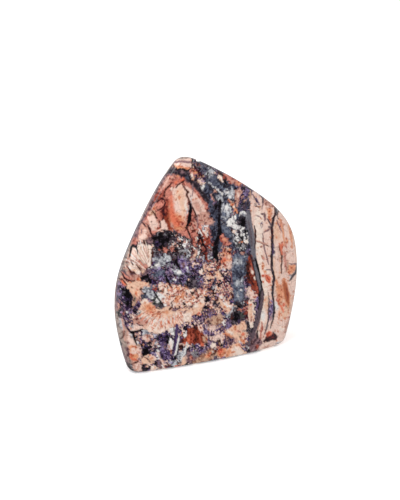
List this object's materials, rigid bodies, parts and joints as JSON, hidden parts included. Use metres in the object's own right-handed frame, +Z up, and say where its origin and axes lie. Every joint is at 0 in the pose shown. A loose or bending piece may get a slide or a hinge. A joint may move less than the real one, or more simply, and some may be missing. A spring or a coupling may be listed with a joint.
{
  "type": "polished stone freeform",
  "caption": "Upright polished freeform of banded and brecciated opalized rock, standing on a sawn flat base; a display stone.",
  "frame": {"origin": "middle of the base's bounding box, on the plane that the stone rests on", "axes": "+Z up; the broad front face looks along -Y; +X to the right of it, -X towards the pointed upper left"},
  "size_m": [0.072, 0.0305, 0.0701],
  "materials": {
    "polished_rock": "polished"
  },
  "bodies": {
    "root": {"stone": "polished_rock"}
  },
  "joints": []
}
